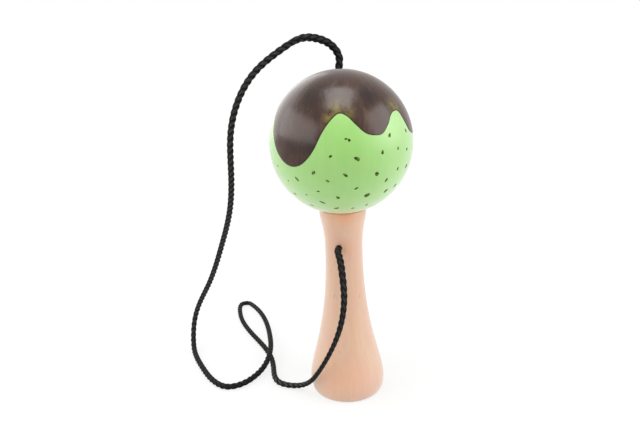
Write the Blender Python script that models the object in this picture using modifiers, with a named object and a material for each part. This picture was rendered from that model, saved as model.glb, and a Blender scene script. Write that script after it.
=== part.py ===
"""Cup and ball: a turned wooden handle with a cup in its top, a wooden ball and the cord that ties them.

Units are metres and +Z is up, along the turning axis of the handle and the ball.
The origin is the middle of the handle's flat foot, and -Y is the front, where the cord leaves the neck.
"""
import math

import bmesh
import bpy
import numpy as np
from mathutils import Vector
from mathutils.geometry import interpolate_bezier

# Ball
BALL_DIAMETER = 0.0600

# Handle: heights from the foot, drops from the top of the rim
HANDLE_LENGTH = 0.0853
BASE_DIAMETER = 0.0336
BASE_HEIGHT = 0.0060
FOOT_ROUNDING = 0.0022
NECK_DIAMETER = 0.0163
NECK_DROP = 0.0181
RIM_DIAMETER = 0.0202
RIM_DROP = 0.0012
LIP_WIDTH = 0.0006

# How far each end of the waisted side runs straight before it bends, as a share of its stretch
RIM_FULLNESS = 0.18
FLARE_FULLNESS = 0.67
TAPER_FULLNESS = 0.61
BASE_FULLNESS = 0.16

# Cup in the handle's top: a ring that fits the ball, and a hollow below it
SEAT_WIDTH = 0.0015
CUP_DEPTH = 0.0075

# Cord, its holes and the pockets that hide its knots
CORD_DIAMETER = 0.0025
CLEARANCE = 0.0003
KNOT_DIAMETER = 0.0066
KNOT_TAIL = 0.0050
BALL_POCKET_DEPTH = 0.0140
CORD_HOLE_DROP = 0.0153
CORD_HOLE_AZIMUTH = math.radians(-17.0)
NECK_STRAIGHT = 0.0008
FLOOR_GAP = 0.0001
CORD_REST_HEIGHT = CORD_DIAMETER / 2 + FLOOR_GAP

# Three wraps of a stopper knot: how far each leans from the middle, and its outer arc, in degrees
KNOT_WRAPS = ((58.0, 85.0, 10.0), (0.0, 52.0, -52.0), (-58.0, -10.0, -85.0))

# Facets
TURNED_STEPS = 40
KNOT_STEPS = 16
CORD_POINT_STEP = 0.0030
SPLINE_STEPS = 40
MERGE_DISTANCE = 1e-6

# The free cord's route between its two exits: over the left of the ball, down to the surface behind,
# forward to the front left, back round a narrow loop that passes under itself, and up to the neck.
CORD_ROUTE = [
    (0.0003, -0.0002, 0.1484),
    (-0.0027, -0.0026, 0.1533),
    (-0.0078, -0.0060, 0.1559),
    (-0.0140, -0.0087, 0.1564),
    (-0.0218, -0.0099, 0.1528),
    (-0.0329, -0.0095, 0.1446),
    (-0.0411, -0.0062, 0.1331),
    (-0.0454, -0.0026, 0.1205),
    (-0.0474, 0.0034, 0.1040),
    (-0.0510, 0.0144, 0.0832),
    (-0.0585, 0.0272, 0.0619),
    (-0.0697, 0.0406, 0.0361),
    (-0.0808, 0.0478, 0.0110),
    (-0.0804, 0.0408, 0.0030),
    (-0.0763, 0.0282, CORD_REST_HEIGHT),
    (-0.0702, 0.0154, CORD_REST_HEIGHT),
    (-0.0626, 0.0036, CORD_REST_HEIGHT),
    (-0.0564, -0.0005, CORD_REST_HEIGHT),
    (-0.0506, 0.0011, CORD_REST_HEIGHT),
    (-0.0454, 0.0060, 0.0016),
    (-0.0403, 0.0149, 0.0028),
    (-0.0382, 0.0280, 0.0045),
    (-0.0394, 0.0430, 0.0034),
    (-0.0414, 0.0565, 0.0020),
    (-0.0447, 0.0710, CORD_REST_HEIGHT),
    (-0.0494, 0.0838, CORD_REST_HEIGHT),
    (-0.0545, 0.0931, CORD_REST_HEIGHT),
    (-0.0575, 0.0960, CORD_REST_HEIGHT),
    (-0.0605, 0.0951, CORD_REST_HEIGHT),
    (-0.0616, 0.0913, CORD_REST_HEIGHT),
    (-0.0609, 0.0838, CORD_REST_HEIGHT),
    (-0.0588, 0.0740, CORD_REST_HEIGHT),
    (-0.0550, 0.0632, CORD_REST_HEIGHT),
    (-0.0492, 0.0509, CORD_REST_HEIGHT),
    (-0.0430, 0.0388, CORD_REST_HEIGHT),
    (-0.0382, 0.0268, CORD_REST_HEIGHT),
    (-0.0358, 0.0145, CORD_REST_HEIGHT),
    (-0.0315, 0.0009, CORD_REST_HEIGHT),
    (-0.0244, -0.0026, 0.0018),
    (-0.0141, -0.0134, 0.0135),
    (-0.0079, -0.0202, 0.0276),
    (-0.0029, -0.0238, 0.0429),
    (-0.0014, -0.0233, 0.0550),
    (-0.0018, -0.0202, 0.0632),
    (-0.0025, -0.0150, 0.0683),
]

# Sizes that follow from the ones above
BALL_RADIUS = BALL_DIAMETER / 2
RIM_RADIUS = RIM_DIAMETER / 2
SEAT_RADIUS = RIM_RADIUS - LIP_WIDTH
CUP_RADIUS = SEAT_RADIUS - SEAT_WIDTH
CORD_RADIUS = CORD_DIAMETER / 2
CORD_HOLE_RADIUS = CORD_RADIUS + CLEARANCE
CORD_HOLE_HEIGHT = HANDLE_LENGTH - CORD_HOLE_DROP
KNOT_RADIUS = KNOT_DIAMETER / 2
POCKET_RADIUS = KNOT_RADIUS + CLEARANCE
SEAT_SPHERE = BALL_RADIUS + CLEARANCE
BALL_CENTRE = HANDLE_LENGTH + math.sqrt(SEAT_SPHERE ** 2 - SEAT_RADIUS ** 2)
CUP_EDGE = BALL_CENTRE - math.sqrt(SEAT_SPHERE ** 2 - CUP_RADIUS ** 2)
CUP_FLOOR = HANDLE_LENGTH - CUP_DEPTH
HOLE_DIRECTION = Vector((math.sin(CORD_HOLE_AZIMUTH), -math.cos(CORD_HOLE_AZIMUTH), 0.0))


def empty_scene():
    for item in list(bpy.data.objects):
        bpy.data.objects.remove(item, do_unlink=True)


def add_collection(name):
    collection = bpy.data.collections.new(name)
    bpy.context.scene.collection.children.link(collection)
    return collection


def add_material(name, colour, roughness):
    material = bpy.data.materials.new(name)
    material.use_nodes = True
    shader = material.node_tree.nodes["Principled BSDF"]
    shader.inputs["Base Color"].default_value = (*colour, 1.0)
    shader.inputs["Roughness"].default_value = roughness
    shader.inputs["Metallic"].default_value = 0.0
    return material


def arc(centre, radii, start, end, count):
    """Points of an elliptic arc in the (radius, height) plane, with angles in degrees from outward."""
    angles = np.radians(np.linspace(start, end, count))
    return [(centre[0] + radii[0] * math.cos(a), centre[1] + radii[1] * math.sin(a)) for a in angles]


def bezier(start, handle_a, handle_b, end, count):
    """Points of a cubic Bezier stretch in the (radius, height) plane."""
    corners = [Vector((r, 0.0, z)) for r, z in (start, handle_a, handle_b, end)]
    return [(p.x, p.z) for p in interpolate_bezier(*corners, count)]


def without_repeats(profile):
    kept = [profile[0]]
    for point in profile[1:]:
        if math.dist(point, kept[-1]) > MERGE_DISTANCE:
            kept.append(point)
    return kept


def turned(name, profile, steps, material, collection, closed=False):
    """An object turned about its own Z axis from a (radius, height) profile."""
    profile = without_repeats(profile)
    edges = [(i, i + 1) for i in range(len(profile) - 1)]
    if closed:
        edges.append((len(profile) - 1, 0))
    mesh = bpy.data.meshes.new(name)
    mesh.from_pydata([(r, 0.0, z) for r, z in profile], edges, [])
    item = bpy.data.objects.new(name, mesh)
    collection.objects.link(item)
    item.data.materials.append(material)
    screw = item.modifiers.new("turning", "SCREW")
    screw.axis = "Z"
    screw.angle = math.tau
    screw.steps = steps
    screw.render_steps = steps
    screw.use_merge_vertices = True
    screw.merge_threshold = MERGE_DISTANCE
    screw.use_smooth_shade = True
    return item


def handle_side():
    """The handle's outer side from the widest of the rim down to the widest of the base."""
    rim = (RIM_RADIUS, HANDLE_LENGTH - RIM_DROP)
    neck = (NECK_DIAMETER / 2, HANDLE_LENGTH - NECK_DROP)
    base = (BASE_DIAMETER / 2, BASE_HEIGHT)
    above = rim[1] - neck[1]
    below = neck[1] - base[1]
    below_rim = (rim[0], rim[1] - RIM_FULLNESS * above)
    above_neck = (neck[0], neck[1] + FLARE_FULLNESS * above)
    below_neck = (neck[0], neck[1] - TAPER_FULLNESS * below)
    above_base = (base[0], base[1] + BASE_FULLNESS * below)
    flare = bezier(rim, below_rim, above_neck, neck, count=8)
    taper = bezier(neck, below_neck, above_base, base, count=18)
    return flare + taper[1:]


def side_radius_at(height):
    """Radius of the handle's outer side at a height."""
    outline = handle_side()[::-1]
    return float(np.interp(height, [z for r, z in outline], [r for r, z in outline]))


def make_handle(material, parts, cutters):
    """Beech handle: knot pocket, cup, ball seat, rim, waisted side and flat foot in one turned profile."""
    pocket_floor = CORD_HOLE_HEIGHT - POCKET_RADIUS
    pocket = [(0.0, pocket_floor), (POCKET_RADIUS, pocket_floor), (POCKET_RADIUS, CUP_FLOOR)]
    bowl_size = (CUP_RADIUS - POCKET_RADIUS, CUP_EDGE - CUP_FLOOR)
    bowl = arc((POCKET_RADIUS, CUP_EDGE), bowl_size, -90.0, 0.0, count=7)
    seat_start = math.degrees(math.asin(CUP_RADIUS / SEAT_SPHERE)) - 90.0
    seat_end = math.degrees(math.asin(SEAT_RADIUS / SEAT_SPHERE)) - 90.0
    seat = arc((0.0, BALL_CENTRE), (SEAT_SPHERE, SEAT_SPHERE), seat_start, seat_end, count=3)
    lip = arc((SEAT_RADIUS, HANDLE_LENGTH - RIM_DROP), (LIP_WIDTH, RIM_DROP), 90.0, 0.0, count=6)
    foot_centre = (BASE_DIAMETER / 2 - FOOT_ROUNDING, BASE_HEIGHT)
    foot = arc(foot_centre, (FOOT_ROUNDING, BASE_HEIGHT), 0.0, -90.0, count=7)
    profile = pocket + bowl + seat + lip + handle_side() + foot + [(0.0, 0.0)]
    handle = turned("handle", profile, TURNED_STEPS, material, parts)

    reach = BASE_DIAMETER / 2
    drill = add_drill("side_hole_drill", CORD_HOLE_RADIUS, reach, cutters)
    drill.rotation_euler = (math.pi / 2, 0.0, CORD_HOLE_AZIMUTH)
    drill.location = HOLE_DIRECTION * reach / 2 + Vector((0.0, 0.0, CORD_HOLE_HEIGHT))
    cut = handle.modifiers.new("side_hole", "BOOLEAN")
    cut.operation = "DIFFERENCE"
    cut.solver = "EXACT"
    cut.object = drill


def add_drill(name, radius, length, cutters):
    """A round cutter along its own Z axis, centred on its origin."""
    mesh = bpy.data.meshes.new(name)
    shape = bmesh.new()
    bmesh.ops.create_cone(
        shape, cap_ends=True, segments=KNOT_STEPS, radius1=radius, radius2=radius, depth=length)
    shape.to_mesh(mesh)
    shape.free()
    drill = bpy.data.objects.new(name, mesh)
    cutters.objects.link(drill)
    drill.hide_render = True
    drill.display_type = "WIRE"
    return drill


def make_ball(material, parts):
    """Wooden ball with a cord hole down its axis and a wider pocket for the knot, open below."""
    top = math.degrees(math.acos(CORD_HOLE_RADIUS / BALL_RADIUS))
    bottom = -math.degrees(math.acos(POCKET_RADIUS / BALL_RADIUS))
    outside = arc((0.0, 0.0), (BALL_RADIUS, BALL_RADIUS), top, bottom, count=26)
    pocket_top = BALL_POCKET_DEPTH - BALL_RADIUS
    bore = [(POCKET_RADIUS, pocket_top), (CORD_HOLE_RADIUS, pocket_top)]
    return turned("ball", outside + bore, TURNED_STEPS, material, parts, closed=True)


def make_knotted_end(name, lead, tail, material, parts):
    """Cord end up its own Z axis from a round stopper knot of three wraps, with a tail below the knot."""
    wrap = KNOT_RADIUS / len(KNOT_WRAPS)
    crown = KNOT_RADIUS - wrap
    profile = [(0.0, lead), (CORD_RADIUS, lead)]
    for lean, start, end in KNOT_WRAPS:
        centre = (crown * math.cos(math.radians(lean)), crown * math.sin(math.radians(lean)))
        profile += arc(centre, (wrap, wrap), start, end, count=5)
    if tail > 0.0:
        profile += [(CORD_RADIUS, -KNOT_RADIUS), (CORD_RADIUS, -KNOT_RADIUS - tail)]
    profile.append((0.0, profile[-1][1]))
    return turned(name, profile, KNOT_STEPS, material, parts)


def natural_spline(points, spacing):
    """Points of a natural cubic spline through the given points, an even spacing apart."""
    knots = np.array(points, dtype=float)
    along = np.concatenate([[0.0], np.cumsum(np.linalg.norm(np.diff(knots, axis=0), axis=1))])
    gap = np.diff(along)
    count = len(knots)
    system = np.eye(count)
    bend = np.zeros((count, 3))
    for i in range(1, count - 1):
        system[i, i - 1:i + 2] = gap[i - 1], 2 * (gap[i - 1] + gap[i]), gap[i]
        bend[i] = 6 * ((knots[i + 1] - knots[i]) / gap[i] - (knots[i] - knots[i - 1]) / gap[i - 1])
    second = np.linalg.solve(system, bend)
    fine = np.linspace(0.0, along[-1], SPLINE_STEPS * count)
    left = np.clip(np.searchsorted(along, fine, side="right") - 1, 0, count - 2)
    width = gap[left][:, None]
    a = (along[left + 1] - fine)[:, None] / width
    b = 1.0 - a
    curve = a * knots[left] + b * knots[left + 1]
    curve += ((a ** 3 - a) * second[left] + (b ** 3 - b) * second[left + 1]) * width ** 2 / 6
    length = np.concatenate([[0.0], np.cumsum(np.linalg.norm(np.diff(curve, axis=0), axis=1))])
    stops = np.linspace(0.0, length[-1], round(length[-1] / spacing) + 1)
    return np.stack([np.interp(stops, length, curve[:, k]) for k in range(3)], axis=1), length[-1]


def cord_points():
    """The free cord from the top of the ball to the side hole, with a straight start at both exits."""
    ball_exit = Vector((0.0, 0.0, BALL_CENTRE + BALL_RADIUS + CLEARANCE))
    hole = Vector((0.0, 0.0, CORD_HOLE_HEIGHT))
    mouth = side_radius_at(CORD_HOLE_HEIGHT) + CLEARANCE
    handle_exit = hole + HOLE_DIRECTION * mouth
    straight = hole + HOLE_DIRECTION * (mouth + NECK_STRAIGHT)
    route = [tuple(ball_exit)] + CORD_ROUTE + [tuple(straight), tuple(handle_exit)]
    points, length = natural_spline(route, CORD_POINT_STEP)
    points[:, 2] = np.maximum(points[:, 2], CORD_REST_HEIGHT)
    return points, length


def make_cord(material, parts):
    """The free stretch of the cord, one tube."""
    points, length = cord_points()
    curve = bpy.data.curves.new("cord", "CURVE")
    curve.dimensions = "3D"
    curve.bevel_depth = CORD_RADIUS
    curve.bevel_resolution = 2
    curve.use_fill_caps = True
    spline = curve.splines.new("POLY")
    spline.points.add(len(points) - 1)
    for spot, point in zip(spline.points, points):
        spot.co = (*point, 1.0)
    cord = bpy.data.objects.new("cord", curve)
    parts.objects.link(cord)
    curve.materials.append(material)
    print(f"free cord: {length:.4f} m")
    return cord


def build():
    empty_scene()
    parts = add_collection("cup_and_ball")
    cutters = add_collection("cutters")
    beech = add_material("beech", (0.73, 0.48, 0.32), 0.5)
    paint = add_material("mint_paint", (0.35, 0.70, 0.24), 0.3)
    braid = add_material("black_braid", (0.012, 0.012, 0.013), 0.75)

    make_handle(beech, parts, cutters)

    carrier = bpy.data.objects.new("ball_carrier", None)
    carrier.location = (0.0, 0.0, BALL_CENTRE)
    parts.objects.link(carrier)
    ball = make_ball(paint, parts)
    ball.parent = carrier
    knot_height = BALL_POCKET_DEPTH - BALL_RADIUS - CLEARANCE - KNOT_RADIUS
    ball_knot = make_knotted_end("ball_end_knot", BALL_RADIUS - knot_height, KNOT_TAIL, braid, parts)
    ball_knot.parent = carrier
    ball_knot.location = (0.0, 0.0, knot_height)

    handle_knot = make_knotted_end("handle_end_knot", side_radius_at(CORD_HOLE_HEIGHT), 0.0, braid, parts)
    handle_knot.location = (0.0, 0.0, CORD_HOLE_HEIGHT)
    handle_knot.rotation_euler = (math.pi / 2, 0.0, CORD_HOLE_AZIMUTH)

    make_cord(braid, parts)
    bpy.context.view_layer.update()


build()
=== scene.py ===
import math

import bpy
import numpy as np
from mathutils import Matrix, Vector
from mathutils.geometry import interpolate_bezier


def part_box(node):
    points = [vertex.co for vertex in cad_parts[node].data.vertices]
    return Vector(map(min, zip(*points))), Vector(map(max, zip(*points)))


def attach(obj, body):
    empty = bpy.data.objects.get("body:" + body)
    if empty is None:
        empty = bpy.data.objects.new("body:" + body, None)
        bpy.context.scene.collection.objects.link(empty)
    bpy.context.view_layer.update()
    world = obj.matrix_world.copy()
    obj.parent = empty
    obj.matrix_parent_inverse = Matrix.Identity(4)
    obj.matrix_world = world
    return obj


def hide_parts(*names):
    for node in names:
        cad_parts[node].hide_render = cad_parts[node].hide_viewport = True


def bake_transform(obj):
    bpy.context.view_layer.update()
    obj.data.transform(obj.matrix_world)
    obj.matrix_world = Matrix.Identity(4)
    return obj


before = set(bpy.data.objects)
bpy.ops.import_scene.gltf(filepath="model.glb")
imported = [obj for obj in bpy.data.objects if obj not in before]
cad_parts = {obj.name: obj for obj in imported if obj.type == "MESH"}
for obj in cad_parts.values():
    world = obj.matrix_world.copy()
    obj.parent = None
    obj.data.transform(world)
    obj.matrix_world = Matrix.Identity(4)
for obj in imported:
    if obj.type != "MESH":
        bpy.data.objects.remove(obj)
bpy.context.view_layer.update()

# Handle: one piece of pale beech, turned on a lathe, with a shallow cup in its top for the ball. A pocket
# for the knot is bored below the cup, and the cord's hole is drilled into it from the front of the neck.
# The wood is sanded and thinly varnished, so the lathe's rings and the short ray flecks still show.
HANDLE_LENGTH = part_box("handle")[1].z
BASE_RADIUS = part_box("handle")[1].x
BASE_HEIGHT = 0.0060
FOOT_ROUNDING = 0.0022
NECK_RADIUS = 0.00815
NECK_DROP = 0.0181
RIM_RADIUS = 0.0101
RIM_DROP = 0.0012
LIP_WIDTH = 0.0006
RIM_FULLNESS = 0.18
FLARE_FULLNESS = 0.67
TAPER_FULLNESS = 0.61
BASE_FULLNESS = 0.16
SEAT_WIDTH = 0.0015
CUP_DEPTH = 0.0075
BALL_RADIUS = 0.0300
BALL_CLEARANCE = 0.0003
SEAT_FIT = 0.00005
KNOT_POCKET_RADIUS = 0.0036
CORD_HOLE_RADIUS = 0.00135
CORD_HOLE_DROP = 0.0153
CORD_HOLE_HEIGHT = HANDLE_LENGTH - CORD_HOLE_DROP
CORD_HOLE_AZIMUTH = math.radians(-17.0)
CORD_HOLE_CHAMFER = 0.0001
CORD_HOLE_MOUTH_SINK = 0.0001
TURNED_STEPS = 160
SAME_POINT = 1e-6
ON_AXIS = 1e-7
SMOOTH_ANGLE = math.radians(35.0)


def arc(centre, radii, start, end, count):
    """Points of an elliptic arc in the (radius, height) plane, with angles in degrees from outward."""
    angles = np.radians(np.linspace(start, end, count))
    return [(centre[0] + radii[0] * math.cos(a), centre[1] + radii[1] * math.sin(a)) for a in angles]


def bezier(start, handle_a, handle_b, end, count):
    """Points of a cubic Bezier stretch in the (radius, height) plane."""
    corners = [Vector((r, 0.0, z)) for r, z in (start, handle_a, handle_b, end)]
    return [(p.x, p.z) for p in interpolate_bezier(*corners, count)]


def new_object(name, points, faces):
    mesh = bpy.data.meshes.new(name)
    mesh.from_pydata(points, [], faces)
    mesh.update()
    mesh.shade_smooth()
    item = bpy.data.objects.new(name, mesh)
    bpy.context.scene.collection.objects.link(item)
    return item


def turned(name, outline, closed=False):
    """A turned object from a (radius, height) outline that runs down its outer side."""
    kept = [outline[0]]
    for spot in outline[1:]:
        if math.dist(spot, kept[-1]) > SAME_POINT:
            kept.append(spot)
    angles = np.linspace(0.0, math.tau, TURNED_STEPS, endpoint=False)
    points = []
    rings = []
    for r, z in kept:
        around = angles if r > ON_AXIS else angles[:1]
        rings.append([len(points) + i for i in range(len(around))])
        points += [(r * math.cos(a), r * math.sin(a), z) for a in around]
    pairs = list(zip(rings, rings[1:])) + ([(rings[-1], rings[0])] if closed else [])
    faces = []
    for upper, lower in pairs:
        for i in range(TURNED_STEPS):
            corners = [upper[i % len(upper)], lower[i % len(lower)]]
            corners += [lower[(i + 1) % len(lower)], upper[(i + 1) % len(upper)]]
            faces.append(list(dict.fromkeys(corners)))
    return new_object(name, points, faces)


def cut_away(item, cutter):
    """Cuts one object out of another for good and keeps the shading smooth."""
    cut = item.modifiers.new("cut", "BOOLEAN")
    cut.operation = "DIFFERENCE"
    cut.solver = "EXACT"
    cut.object = cutter
    ready = item.evaluated_get(bpy.context.evaluated_depsgraph_get())
    mesh = bpy.data.meshes.new_from_object(ready)
    item.modifiers.clear()
    item.data = mesh
    mesh.name = item.name
    mesh.shade_smooth()
    mesh.set_sharp_from_angle(angle=SMOOTH_ANGLE)
    bpy.data.objects.remove(cutter)


def handle_side():
    """The waisted side from the widest of the rim down to the widest of the base."""
    rim = (RIM_RADIUS, HANDLE_LENGTH - RIM_DROP)
    neck = (NECK_RADIUS, HANDLE_LENGTH - NECK_DROP)
    base = (BASE_RADIUS, BASE_HEIGHT)
    above = rim[1] - neck[1]
    below = neck[1] - base[1]
    below_rim = (rim[0], rim[1] - RIM_FULLNESS * above)
    above_neck = (neck[0], neck[1] + FLARE_FULLNESS * above)
    below_neck = (neck[0], neck[1] - TAPER_FULLNESS * below)
    above_base = (base[0], base[1] + BASE_FULLNESS * below)
    flare = bezier(rim, below_rim, above_neck, neck, count=24)
    taper = bezier(neck, below_neck, above_base, base, count=60)
    return flare + taper[1:]


side = handle_side()
side_heights = [z for r, z in side[::-1]]
side_radii = [r for r, z in side[::-1]]
NECK_HOLE_RADIUS = float(np.interp(CORD_HOLE_HEIGHT, side_heights, side_radii))
HOLE_DIRECTION = Vector((math.sin(CORD_HOLE_AZIMUTH), -math.cos(CORD_HOLE_AZIMUTH), 0.0))
seat_radius = RIM_RADIUS - LIP_WIDTH
cup_radius = seat_radius - SEAT_WIDTH
BALL_CENTRE = HANDLE_LENGTH + math.sqrt((BALL_RADIUS + BALL_CLEARANCE) ** 2 - seat_radius ** 2)
seat_sphere = BALL_RADIUS + SEAT_FIT
rim_top = BALL_CENTRE - math.sqrt(seat_sphere ** 2 - seat_radius ** 2)
cup_edge = BALL_CENTRE - math.sqrt(seat_sphere ** 2 - cup_radius ** 2)
cup_floor = HANDLE_LENGTH - CUP_DEPTH
pocket_floor = CORD_HOLE_HEIGHT - KNOT_POCKET_RADIUS
outline = [(0.0, pocket_floor), (KNOT_POCKET_RADIUS, pocket_floor), (KNOT_POCKET_RADIUS, cup_floor)]
outline += arc((KNOT_POCKET_RADIUS, cup_edge), (cup_radius - KNOT_POCKET_RADIUS, cup_edge - cup_floor),
               -90.0, 0.0, count=16)
outline += arc((0.0, BALL_CENTRE), (seat_sphere, seat_sphere),
               math.degrees(math.asin(cup_radius / seat_sphere)) - 90.0,
               math.degrees(math.asin(seat_radius / seat_sphere)) - 90.0, count=6)
rim_widest = HANDLE_LENGTH - RIM_DROP
outline += arc((seat_radius, rim_widest), (LIP_WIDTH, rim_top - rim_widest), 90.0, 0.0, count=16)
outline += side
foot_middle = (BASE_RADIUS - FOOT_ROUNDING, BASE_HEIGHT)
outline += arc(foot_middle, (FOOT_ROUNDING, BASE_HEIGHT), 0.0, -90.0, count=20)
outline.append((0.0, 0.0))
handle = turned("turned_handle", outline)

mouth = NECK_HOLE_RADIUS - CORD_HOLE_MOUTH_SINK
flared_radius = CORD_HOLE_RADIUS + CORD_HOLE_CHAMFER + RIM_RADIUS - mouth
drill_outline = [(0.0, RIM_RADIUS), (flared_radius, RIM_RADIUS)]
drill_outline += [(CORD_HOLE_RADIUS, mouth - CORD_HOLE_CHAMFER), (CORD_HOLE_RADIUS, 0.0), (0.0, 0.0)]
drill = turned("cord_hole_drill", drill_outline)
drill.rotation_euler = (math.pi / 2, 0.0, CORD_HOLE_AZIMUTH)
drill.location = (0.0, 0.0, CORD_HOLE_HEIGHT)
bpy.context.view_layer.update()
cut_away(handle, drill)


def srgb(red, green, blue):
    """A colour as it looks on a screen, 0 to 255, as the linear colour that a shader takes."""
    parts = np.array((red, green, blue)) / 255.0
    linear = np.where(parts <= 0.04045, parts / 12.92, ((parts + 0.055) / 1.055) ** 2.4)
    return (*linear, 1.0)


def add_node(tree, kind, inputs=None, **settings):
    """A node with its settings, and with values or other nodes' outputs on its inputs."""
    made = tree.nodes.new(kind)
    for name, value in settings.items():
        setattr(made, name, value)
    for name, value in (inputs or {}).items():
        if isinstance(value, bpy.types.NodeSocket):
            tree.links.new(value, made.inputs[name])
        else:
            made.inputs[name].default_value = value
    return made


def calc(tree, operation, a, b=0.0, c=0.0):
    return add_node(tree, "ShaderNodeMath", {0: a, 1: b, 2: c}, operation=operation).outputs[0]


def tint(tree, share, a, b):
    """Colour a turning into colour b by a share from 0 to 1."""
    mixed = add_node(tree, "ShaderNodeMix", {0: share, 6: a, 7: b}, data_type="RGBA")
    return mixed.outputs[2]


def spread(tree, value, low, high, to_low=0.0, to_high=1.0):
    """A value's range from low to high, smoothly stretched to another range."""
    stretched = add_node(tree, "ShaderNodeMapRange", {
        "Value": value, "From Min": low, "From Max": high, "To Min": to_low, "To Max": to_high},
        interpolation_type="SMOOTHSTEP")
    return stretched.outputs["Result"]


def noise(tree, vector, scale, detail=3.0, roughness=0.5):
    made = add_node(tree, "ShaderNodeTexNoise", {
        "Vector": vector, "Scale": scale, "Detail": detail, "Roughness": roughness})
    return made.outputs["Fac"]


def new_material(name):
    """A material with its tree, its shader and the coordinates of the object that wears it, in metres."""
    material = bpy.data.materials.new(name)
    material.use_nodes = True
    tree = material.node_tree
    place = add_node(tree, "ShaderNodeTexCoord").outputs["Object"]
    return material, tree, tree.nodes["Principled BSDF"], place


def bump(tree, shader, height, distance, strength):
    made = add_node(tree, "ShaderNodeBump", {"Height": height, "Distance": distance, "Strength": strength})
    tree.links.new(made.outputs["Normal"], shader.inputs["Normal"])


def streaks_group():
    """Fine streaks along Z, as wood fibres and brush hairs leave them: 0 to 1, finer across than along."""
    group = bpy.data.node_groups.new("fine_streaks", "ShaderNodeTree")
    group.interface.new_socket("Vector", in_out="INPUT", socket_type="NodeSocketVector")
    group.interface.new_socket("Across", in_out="INPUT", socket_type="NodeSocketFloat")
    group.interface.new_socket("Along", in_out="INPUT", socket_type="NodeSocketFloat")
    group.interface.new_socket("Streaks", in_out="OUTPUT", socket_type="NodeSocketFloat")
    given = group.nodes.new("NodeGroupInput").outputs
    scales = {0: given["Across"], 1: given["Across"], 2: given["Along"]}
    scale = add_node(group, "ShaderNodeCombineXYZ", scales).outputs[0]
    grown = add_node(group, "ShaderNodeVectorMath", {0: given["Vector"], 1: scale}, operation="MULTIPLY")
    lines = spread(group, noise(group, grown.outputs[0], 1.0, 5.0, 0.6), 0.32, 0.68)
    add_node(group, "NodeGroupOutput", {"Streaks": lines})
    return group


fine_streaks = streaks_group()


def streaks(tree, vector, across, along):
    placed = add_node(tree, "ShaderNodeGroup", node_tree=fine_streaks)
    tree.links.new(vector, placed.inputs["Vector"])
    placed.inputs["Across"].default_value = across
    placed.inputs["Along"].default_value = along
    return placed.outputs["Streaks"]


def ray_flecks(tree, vector, cell, size, rarity):
    """Short flecks along the grain, one in some of the cells of a stretched pattern."""
    cells = add_node(tree, "ShaderNodeVectorMath", {0: vector, 1: cell}, operation="MULTIPLY")
    flecks = add_node(tree, "ShaderNodeTexVoronoi", {"Vector": cells.outputs[0], "Scale": 1.0})
    chosen = add_node(tree, "ShaderNodeSeparateColor", {0: flecks.outputs["Color"]}).outputs[0]
    middle = spread(tree, flecks.outputs["Distance"], size, 0.5 * size)
    return calc(tree, "MULTIPLY", middle, spread(tree, chosen, rarity, rarity + 0.05))


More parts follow.
